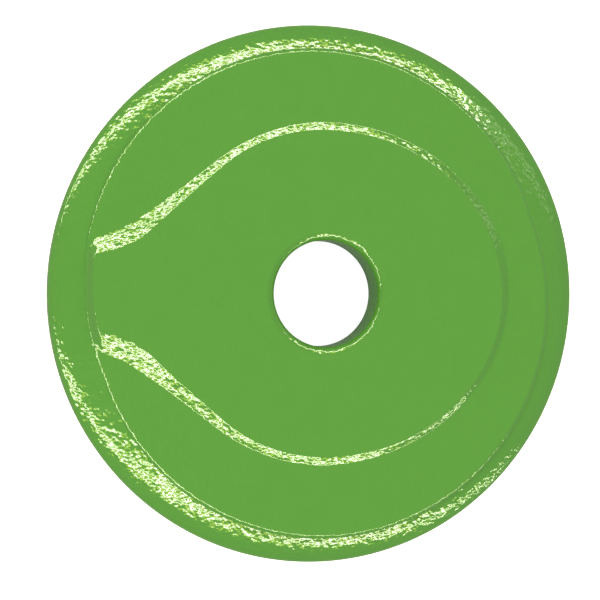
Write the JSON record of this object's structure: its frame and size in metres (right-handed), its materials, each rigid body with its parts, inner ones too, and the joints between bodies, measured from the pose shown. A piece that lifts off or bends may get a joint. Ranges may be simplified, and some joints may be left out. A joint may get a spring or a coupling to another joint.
{
  "type": "vibration dampener",
  "caption": "Round racket string dampener: glossy plate with a raised racket-shaped panel and centre hole, held by a bezel ring on a soft grooved spool.",
  "frame": {"origin": "on the axis of the disc, in the plane of its flat rear face", "axes": "+Z out of the decorated front face, along the axis of the centre hole; the handle of the raised racket-shaped panel points along -X"},
  "size_m": [0.026, 0.026, 0.0068],
  "materials": {
    "glossy_shell": "gloss, finely textured",
    "soft_pad": "matte, soft",
    "soft_spool": "satin silicone rubber"
  },
  "bodies": {
    "root": {"bezel_ring": "glossy_shell", "face_plate": "glossy_shell", "damping_pad": "soft_pad", "string_spool": "soft_spool"}
  },
  "joints": []
}
